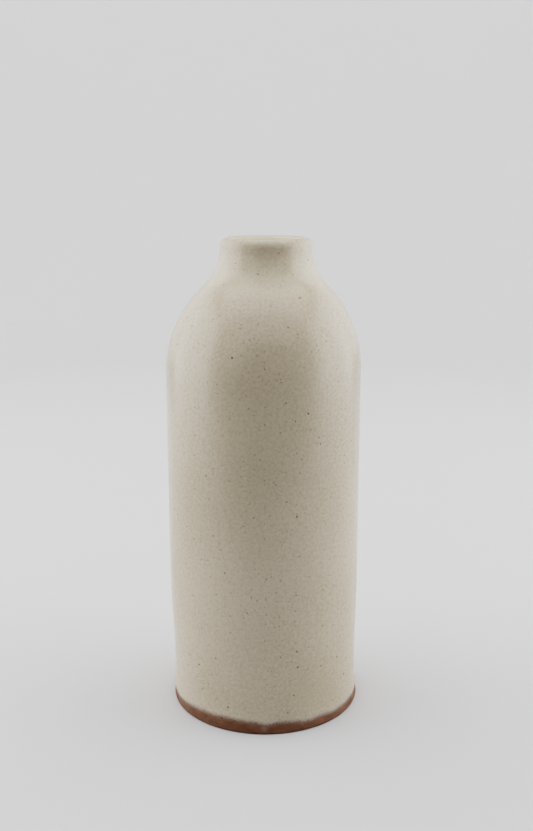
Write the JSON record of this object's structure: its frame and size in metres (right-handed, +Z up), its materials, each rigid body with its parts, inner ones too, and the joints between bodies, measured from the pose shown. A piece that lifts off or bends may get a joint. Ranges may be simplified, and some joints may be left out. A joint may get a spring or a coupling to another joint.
{
  "type": "bottle vase",
  "caption": "Hand-thrown stoneware bottle vase: straight body, round shoulder, short narrow neck, cream speckled glaze over a bare brown foot. Holds water and flower stems.",
  "frame": {"origin": "middle of the foot, on the surface that the vase stands on", "axes": "+Z up along the wheel axis, -Y towards the front, where the glaze has run a little below its line"},
  "size_m": [0.0904, 0.0904, 0.22],
  "materials": {
    "bare_stoneware": "unglazed fired brown stoneware, matt and slightly gritty",
    "speckled_glaze": "satin-gloss cream glaze with iron specks",
    "liner_glaze": "gloss cream liner glaze with iron specks"
  },
  "bodies": {
    "root": {"stoneware_body": "bare_stoneware", "outer_glaze": "speckled_glaze", "liner_glaze": "liner_glaze"}
  },
  "joints": []
}
